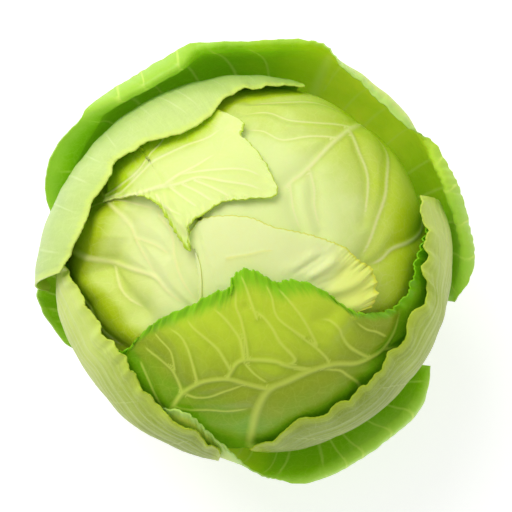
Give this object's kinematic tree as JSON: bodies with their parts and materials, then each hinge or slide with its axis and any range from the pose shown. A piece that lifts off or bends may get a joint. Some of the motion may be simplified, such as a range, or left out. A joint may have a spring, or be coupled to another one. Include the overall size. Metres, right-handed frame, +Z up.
{
  "type": "cabbage",
  "caption": "Round head of green cabbage with loose outer leaves folded back around a tight pale heart, cut flat at the stem.",
  "frame": {"origin": "centre of the cut stem face, which is the face the head stands on", "axes": "+Z up from the stem through the middle of the head to its crown; -Y towards the side the front leaf wraps; +X to the right of it"},
  "size_m": [0.2127, 0.2124, 0.1718],
  "materials": {
    "stem": "moist fibrous cut stem, matte",
    "heart": "smooth waxy leaf",
    "crown_leaf": "smooth waxy leaf, pale yellow-green with raised veins",
    "wrapper_leaf": "waxy bloom, pale green with whitish veins",
    "green_leaf": "semi-glossy leaf, fresh green with pale veins"
  },
  "bodies": {
    "root": {"stem_stump": "stem", "packed_heart": "heart", "crown_leaf_left": "crown_leaf", "crown_leaf_right": "crown_leaf", "crown_leaf_centre": "crown_leaf", "crown_leaf_torn": "crown_leaf", "front_leaf": "green_leaf", "wrapper_leaf_right": "wrapper_leaf", "outer_leaf_bottom": "green_leaf", "wrapper_leaf_lower_left": "wrapper_leaf", "wrapper_leaf_upper_left": "wrapper_leaf", "outer_leaf_left": "green_leaf", "outer_leaf_top": "green_leaf"}
  },
  "joints": []
}
